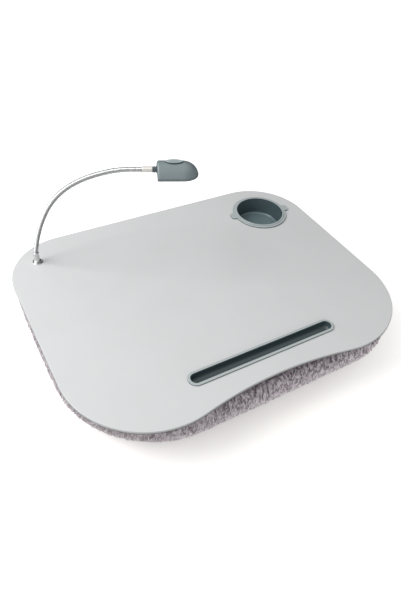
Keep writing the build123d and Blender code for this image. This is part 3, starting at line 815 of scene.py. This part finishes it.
def bag_form():
    """Closed bag: its sides are round from the floor to its widest line and on up to the board."""
    cushion = settings("cushion")
    low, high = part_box("cushion_cover")
    height = high.z - low.z
    top_turn = math.asin((1 - cushion.widest) / cushion.widest)
    builder = bmesh.new()
    rings = []
    for step in range(cushion.levels):
        turn = -math.pi / 2 + (top_turn + math.pi / 2) * step / (cushion.levels - 1)
        reach = cushion.rest_inset if turn < 0 else cushion.mouth_inset
        inset = reach * (1 - math.cos(turn)) + cushion.start_inset
        level = low.z + height * cushion.widest * (1 + math.sin(turn))
        rings.append(bag_outline(builder, inset, level))
    for lower, upper in zip(rings, rings[1:]):
        bmesh.ops.bridge_loops(builder, edges=lower + upper)
    close_ends(builder)
    return object_from(builder, "fleece_cushion")


def swell(piece):
    """Swell the bag as its filling does, held where it is glued to the board and where it rests."""
    cushion = settings("cushion")
    low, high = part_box("cushion_cover")
    start = [vertex.co.copy() for vertex in piece.data.vertices]
    held = piece.vertex_groups.new(name="held")
    free_from = low.z + cushion.voxel / 2
    free_to = high.z - cushion.voxel
    held.add([i for i, point in enumerate(start) if not free_from < point.z < free_to], 1, "REPLACE")
    bag = piece.modifiers.new("swell", "CLOTH")
    bag.settings.use_pressure = True
    bag.settings.uniform_pressure_force = cushion.pressure
    bag.settings.effector_weights.gravity = 0
    bag.settings.vertex_group_mass = held.name
    bag.point_cache.frame_start = 1
    bag.point_cache.frame_end = SWELL_FRAMES
    for frame_number in range(1, SWELL_FRAMES + 1):
        bpy.context.scene.frame_set(frame_number)
    apply_modifiers(piece)
    bpy.context.scene.frame_set(1)
    for vertex, place in zip(piece.data.vertices, start):
        moved = vertex.co - place
        if moved.length > cushion.move_cap:
            vertex.co = place + moved.normalized() * cushion.move_cap
        vertex.co.z = min(max(vertex.co.z, low.z), high.z)


def pocket(node, material):
    """Closed block round the part of an insert that hangs in the cushion, with round ends."""
    clearance = settings("cushion").pocket_clearance
    low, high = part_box(node)
    middle = (low + high) / 2
    floor = low.z - clearance
    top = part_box("tray_board")[0].z + clearance
    builder = bmesh.new()
    place = Matrix.Translation((middle.x, middle.y, (top + floor) / 2))
    size = Matrix.Diagonal((high.x - low.x, high.y - low.y, top - floor, 1))
    bmesh.ops.create_cube(builder, size=1, matrix=place @ size)
    upright = [e for e in builder.edges if abs(e.verts[0].co.z - e.verts[1].co.z) > clearance]
    radius = (high.y - low.y) / 2 * POCKET_ROUNDING
    round_off(builder, upright, radius, POCKET_SEGMENTS, "EDGES")
    block = object_from(builder, "cutter")
    paint_piece(block, material)
    return block


def cut_pockets(piece, lining):
    """Cut the pockets of the cup and the trough into the cushion, lined with backing cloth."""
    for node in ("cup_insert", "trough_insert"):
        block = pocket(node, lining)
        modify(
            piece, "BOOLEAN", operation="DIFFERENCE", solver="EXACT", material_mode="TRANSFER", object=block
        )
        bpy.data.objects.remove(block)


def tuft_form():
    """One tuft along Z: three-sided, bent outwards in the middle and drawn to a point."""
    cushion = settings("cushion")
    builder = bmesh.new()
    bmesh.ops.create_circle(builder, segments=3, radius=cushion.tuft_width / 2)
    edges = builder.edges[:]
    for rise, bend, narrowing in TUFT_STRETCHES:
        moved, edges = extrude_ring(builder, edges)
        centre = sum((vertex.co for vertex in moved), Vector()) / len(moved)
        bmesh.ops.scale(
            builder, verts=moved, vec=(narrowing, narrowing, 1), space=Matrix.Translation(-centre)
        )
        bmesh.ops.translate(builder, verts=moved, vec=Vector((0, bend, rise)) * cushion.tuft_length)
    bmesh.ops.pointmerge(builder, verts=moved, merge_co=moved[0].co)
    bmesh.ops.recalc_face_normals(builder, faces=builder.faces)
    return object_from(builder, "tuft")


def pile_points(tree, layer):
    """Points with a tuft: none on the lining, near the board or facing it, and few underneath."""
    cushion = settings("cushion")
    bag = add_node(tree, "NodeGroupInput").outputs["Bag"]
    normal = add_node(tree, "GeometryNodeInputNormal").outputs["Normal"]
    rise = axis_of(tree, "Z", normal)
    board = add_node(tree, "GeometryNodeObjectInfo", {"Object": frame["nodes"]["tray_board"]})
    near_board = add_node(
        tree, "GeometryNodeProximity", {"Geometry": board.outputs["Geometry"]}, target_element="FACES"
    )
    unglued = maths(tree, "GREATER_THAN", near_board.outputs["Distance"], cushion.glue_gap)
    off_top = maths(tree, "LESS_THAN", rise, cushion.top_rise)
    layer_density = cushion.tuft_density / cushion.layers
    pressed = remap(tree, rise, PRESSED_RISE, (layer_density * PRESSED_SHARE, layer_density))
    # The lining of the pockets is the bag's second material
    material_index = add_node(tree, "GeometryNodeInputMaterialIndex").outputs["Material Index"]
    inputs = {
        "Mesh": bag,
        "Selection": maths(tree, "LESS_THAN", material_index, 1),
        "Density": maths(tree, "MULTIPLY", pressed, maths(tree, "MULTIPLY", unglued, off_top)),
        "Seed": layer,
    }
    return add_node(tree, "GeometryNodeDistributePointsOnFaces", inputs)


def combed(tree, outward):
    """Turn of each tuft: combed down along the bag, with a drift to one side and a little stray."""
    cushion = settings("cushion")
    lifted = vector_maths(tree, "SCALE", outward, axis_of(tree, "Z", outward))
    down = vector_maths(tree, "ADD", lifted, (0, 0, -1))
    sideways = vector_maths(tree, "CROSS_PRODUCT", outward, (0, 0, 1))
    drift = noise(tree, LEAN_PATCH, Detail=2)
    lean = remap(tree, drift, LEAN_EDGES, (-cushion.comb_slant / 2, 2 * cushion.comb_slant))
    inputs = {LOWEST_VECTOR: [-cushion.jitter] * 3, HIGHEST_VECTOR: [cushion.jitter] * 3, "Seed": 5}
    stray = add_node(tree, "FunctionNodeRandomValue", inputs, data_type="FLOAT_VECTOR")
    slant = vector_maths(tree, "SCALE", sideways, lean)
    lift = vector_maths(tree, "SCALE", outward, cushion.comb_lift)
    comb = down
    for part in (slant, lift, stray.outputs[RANDOM_VECTOR]):
        comb = vector_maths(tree, "ADD", comb, part)
    lying = add_node(tree, "FunctionNodeAlignRotationToVector", {"Vector": comb}, axis="Z")
    facing = add_node(
        tree, "FunctionNodeAlignRotationToVector", {"Rotation": lying.outputs["Rotation"], "Vector": outward},
        axis="Y", pivot_axis="Z",
    )
    return facing.outputs["Rotation"]


def random_number(tree, low, high, seed):
    """Random number between two others."""
    inputs = {LOWEST_NUMBER: low, HIGHEST_NUMBER: high, "Seed": seed}
    node = add_node(tree, "FunctionNodeRandomValue", inputs, data_type="FLOAT")
    return node.outputs[RANDOM_NUMBER]


def tuft_size(tree):
    """Size of each tuft: the pale locks stand out further than the dark gaps between them."""
    place = add_node(tree, "GeometryNodeInputPosition").outputs["Position"]
    fullness = remap(tree, lock_noise(tree, place), LOCK_EDGES, TUFT_SIZES)
    return maths(tree, "MULTIPLY", random_number(tree, *TUFT_SIZES, seed=8), fullness)


def above_floor(tree, geometry):
    """Geometry whose points below the floor are lifted onto it."""
    place = add_node(tree, "GeometryNodeInputPosition").outputs["Position"]
    inputs = {axis: axis_of(tree, axis, place) for axis in "XYZ"}
    inputs["Z"] = maths(tree, "MAXIMUM", inputs["Z"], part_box("cushion_cover")[0].z)
    kept = add_node(tree, "ShaderNodeCombineXYZ", inputs).outputs["Vector"]
    moved = add_node(tree, "GeometryNodeSetPosition", {"Geometry": geometry, "Position": kept})
    return moved.outputs["Geometry"]


def comb_pile(bag, tuft, layer):
    """One layer of the pile: tufts all over the bag, combed down and a little to one side."""
    tree = bpy.data.node_groups.new("comb_pile", "GeometryNodeTree")
    tree.interface.new_socket("Bag", in_out="INPUT", socket_type="NodeSocketGeometry")
    tree.interface.new_socket("Pile", in_out="OUTPUT", socket_type="NodeSocketGeometry")
    points = pile_points(tree, layer)
    inputs = {
        "Points": points.outputs["Points"],
        "Instance": add_node(tree, "GeometryNodeObjectInfo", {"Object": tuft}).outputs["Geometry"],
        "Rotation": combed(tree, points.outputs["Normal"]),
        "Scale": tuft_size(tree),
    }
    tufts = add_node(tree, "GeometryNodeInstanceOnPoints", inputs)
    inputs = {
        "Name": "tuft_shade",
        "Geometry": tufts.outputs["Instances"],
        "Value": random_number(tree, 0, 1, seed=13),
    }
    toned = add_node(tree, "GeometryNodeStoreNamedAttribute", inputs, domain="INSTANCE", data_type="FLOAT")
    real = add_node(tree, "GeometryNodeRealizeInstances", {"Geometry": toned.outputs["Geometry"]})
    add_node(tree, "NodeGroupOutput", {"Pile": above_floor(tree, real.outputs["Geometry"])})
    pile = in_scene("fleece_pile_" + str(layer), bag.data.copy())
    modify(pile, "NODES", node_group=tree)
    return pile


class LAPTRAY_OT_cushion(bpy.types.Operator):
    """Build the fleece cushion, swollen by its filling and covered with tufts"""
    bl_idname = "lap_tray.cushion"
    bl_label = "Cushion"

    def execute(self, context):
        cushion = settings("cushion")
        bag = bag_form()
        # An even mesh swells evenly
        modify(bag, "REMESH", mode="VOXEL", voxel_size=cushion.voxel)
        swell(bag)
        modify(bag, "SUBSURF", levels=1, render_levels=1)
        bag.data.materials.append(melange_fleece("fleece_ground", tuft_share=0.2))
        cut_pockets(bag, cloth("backing_cloth", cushion.backing, thread=0.8 * MM))
        tuft = tuft_form()
        piles = [comb_pile(bag, tuft, layer + 1) for layer in range(cushion.layers)]
        bpy.data.objects.remove(tuft)
        tufts = melange_fleece("fleece_tufts", tuft_share=0.3)
        for pile in piles:
            paint_piece(pile, tufts)
        for piece in [bag] + piles:
            smooth(piece)
            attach(piece, "tray")
        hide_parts("cushion_cover", "cushion_backing", "bead_filling")
        return {"FINISHED"}


# Stage

class LAPTRAY_OT_stage(bpy.types.Operator):
    """Set the floor, the lights and the camera"""
    bl_idname = "lap_tray.stage"
    bl_label = "Stage"

    def execute(self, context):
        stage = settings("stage")
        self.floor()
        self.world()
        self.lamp("key", stage.key, stage.key_size, KEY_PLACE)
        fill = self.lamp("fill", stage.fill, stage.fill_size, FILL_PLACE)
        # The fill stands for light from the pale floor in front, so bright metal doesn't mirror it
        fill.visible_glossy = False
        self.camera()
        context.scene.view_settings.view_transform = "Standard"
        return {"FINISHED"}

    def floor(self):
        """Pale paper, with white added where the camera sees it, less of it near the object as painted shade
        there.
        """
        stage = settings("stage")
        builder = bmesh.new()
        bmesh.ops.create_grid(builder, x_segments=1, y_segments=1, size=FLOOR_REACH)
        ground = object_from(builder, "floor")
        material = new_material("pale_paper")
        diffuse = add_node(material, "ShaderNodeBsdfDiffuse", {"Color": rgba(stage.floor)})
        distance = add_node(material, "ShaderNodeVectorMath", {0: coordinates(material)}, operation="LENGTH")
        # Painted shade: less white is added near the object, which deepens its shadow on the floor
        white = remap(
            material, distance.outputs["Value"], (stage.near, stage.far), (stage.near_lift, stage.far_lift)
        )
        lift = maths(material, "MULTIPLY", seen_directly(material), white)
        glow = add_node(material, "ShaderNodeEmission", {"Color": rgba(WHITE), "Strength": lift})
        shaders = {0: diffuse.outputs["BSDF"], 1: glow.outputs["Emission"]}
        output(material, add_node(material, "ShaderNodeAddShader", shaders).outputs["Shader"])
        ground.data.materials.append(material)
        # Bright metal mirrors the room below it too, so that the dark wall isn't cut off at the floor
        ground.visible_glossy = False

    def world(self):
        """White to the camera, soft light from all round, and a dark wall that bright metal mirrors."""
        stage = settings("stage")
        world = bpy.data.worlds.new("studio")
        world.use_nodes = True
        world.node_tree.nodes.clear()
        direction = coordinates(world, "Generated")
        sideways = axis_of(world, "X", direction)
        upwards = axis_of(world, "Z", direction)
        # The wall stands to the right of the object, across from the key light, and ends softly at its top
        beside_wall = remap(world, sideways, (stage.wall_from, stage.wall_from - WALL_SIDE_FADE))
        over_wall = remap(world, upwards, (stage.wall_to - WALL_TOP_FADE, stage.wall_to))
        room = mixed_colour(world, maths(world, "MAXIMUM", beside_wall, over_wall), stage.wall, WHITE)
        direct = seen_directly(world)
        path = add_node(world, "ShaderNodeLightPath")
        seen = maths(world, "MAXIMUM", direct, path.outputs["Is Glossy Ray"])
        inputs = {
            "Color": mixed_colour(world, direct, room, WHITE),
            "Strength": remap(world, seen, (0, 1), (stage.sky, 1)),
        }
        background = add_node(world, "ShaderNodeBackground", inputs)
        add_node(world, "ShaderNodeOutputWorld", {"Surface": background.outputs["Background"]})
        bpy.context.scene.world = world

    def lamp(self, name, power, side, place):
        """Square lamp at a place, turned to the middle of the stage."""
        data = bpy.data.lights.new(name, "AREA")
        data.energy = power
        data.size = side
        lamp = in_scene(name, data)
        lamp.location = place
        lamp.rotation_euler = (-place).to_track_quat("-Z", "Y").to_euler()
        return lamp

    def camera(self):
        """Camera at the photo's viewing angle."""
        data = bpy.data.cameras.new("camera")
        data.lens = CAMERA_LENS
        data.sensor_width = 36
        data.clip_start = 0.01
        data.clip_end = 100
        camera = in_scene("camera", data)
        turn = Matrix((CAMERA_RIGHT, -CAMERA_DOWN, -CAMERA_FORWARD)).transposed().to_4x4()
        camera.matrix_world = Matrix.Translation(CAMERA_PLACE) @ turn
        bpy.context.scene.camera = camera


class LAPTRAY_PT_panel(bpy.types.Panel):
    """Panel that lists the steps and their settings"""
    bl_idname = "LAPTRAY_PT_panel"
    bl_label = "Lap Tray"
    bl_space_type = "VIEW_3D"
    bl_region_type = "UI"
    bl_category = "Lap Tray"

    def draw(self, context):
        for operator in OPERATORS:
            self.layout.operator(operator.bl_idname)
        for name, group in GROUPS.items():
            box = self.layout.box()
            box.label(text=name.capitalize())
            for field in group.__annotations__:
                box.prop(settings(name), field)


GROUPS = {
    "board": BoardSettings,
    "inserts": InsertSettings,
    "lamp": LampSettings,
    "cushion": CushionSettings,
    "stage": StageSettings,
}
OPERATORS = [
    LAPTRAY_OT_board,
    LAPTRAY_OT_inserts,
    LAPTRAY_OT_gooseneck,
    LAPTRAY_OT_lamp,
    LAPTRAY_OT_cushion,
    LAPTRAY_OT_stage,
]
CLASSES = [*GROUPS.values(), *OPERATORS, LAPTRAY_PT_panel]


def register():
    for item in CLASSES:
        bpy.utils.register_class(item)
    for name, group in GROUPS.items():
        setattr(bpy.types.Scene, "lap_tray_" + name, PointerProperty(type=group))


def unregister():
    for name in GROUPS:
        delattr(bpy.types.Scene, "lap_tray_" + name)
    for item in reversed(CLASSES):
        bpy.utils.unregister_class(item)


def main():
    register()
    bpy.ops.lap_tray.board()
    bpy.ops.lap_tray.inserts()
    bpy.ops.lap_tray.gooseneck()
    bpy.ops.lap_tray.lamp()
    bpy.ops.lap_tray.cushion()
    bpy.ops.lap_tray.stage()


if __name__ == "__main__":
    main()
